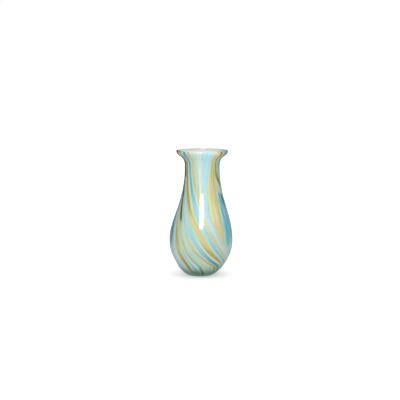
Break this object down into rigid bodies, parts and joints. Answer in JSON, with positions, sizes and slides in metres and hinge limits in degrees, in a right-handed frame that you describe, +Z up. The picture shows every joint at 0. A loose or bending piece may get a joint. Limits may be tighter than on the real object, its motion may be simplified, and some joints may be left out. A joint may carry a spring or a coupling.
{
  "type": "hand blown art glass vase",
  "caption": "Teardrop cased glass vase with a narrow neck, a flared rounded lip, a ground foot ring and coloured canes swirled over a white opal lining.",
  "frame": {"origin": "on the surface the vase stands on, midway under its widest place", "axes": "+Z up through the mouth; -Y is the side with the widest amber cane to the right of the middle; +X to the right seen from there"},
  "size_m": [0.1276, 0.1276, 0.2519],
  "materials": {
    "clear_glass": "polished, fire-polished lip, ground foot ring",
    "opal_glass": "polished, milky white",
    "amber_glass": "polished, transparent amber ochre",
    "blue_glass": "polished, transparent blue",
    "aqua_glass": "polished, transparent pale aqua",
    "lavender_glass": "polished, transparent pale lavender",
    "mint_glass": "polished, transparent pale green",
    "green_glass": "polished, transparent dark green",
    "olive_glass": "polished, transparent olive",
    "moss_glass": "polished, transparent dark brown green",
    "teal_glass": "polished, transparent dark teal"
  },
  "bodies": {
    "root": {"clear_casing": "clear_glass", "opal_lining": "opal_glass", "cane_blue_1": "blue_glass", "cane_blue_2": "blue_glass", "cane_blue_3": "blue_glass", "cane_blue_4": "blue_glass", "cane_blue_5": "blue_glass", "cane_blue_6": "blue_glass", "cane_blue_7": "blue_glass", "cane_amber_1": "amber_glass", "cane_amber_2": "amber_glass", "cane_amber_3": "amber_glass", "cane_amber_4": "amber_glass", "cane_amber_5": "amber_glass", "cane_amber_6": "amber_glass", "cane_amber_7": "amber_glass", "cane_amber_8": "amber_glass", "cane_aqua_1": "aqua_glass", "cane_aqua_2": "aqua_glass", "cane_aqua_3": "aqua_glass", "cane_lavender_1": "lavender_glass", "cane_lavender_2": "lavender_glass", "cane_lavender_3": "lavender_glass", "cane_mint_1": "mint_glass", "cane_mint_2": "mint_glass", "cane_green_1": "green_glass", "cane_green_2": "green_glass", "cane_olive_1": "olive_glass", "cane_moss_1": "moss_glass", "cane_teal_1": "teal_glass"}
  },
  "joints": []
}
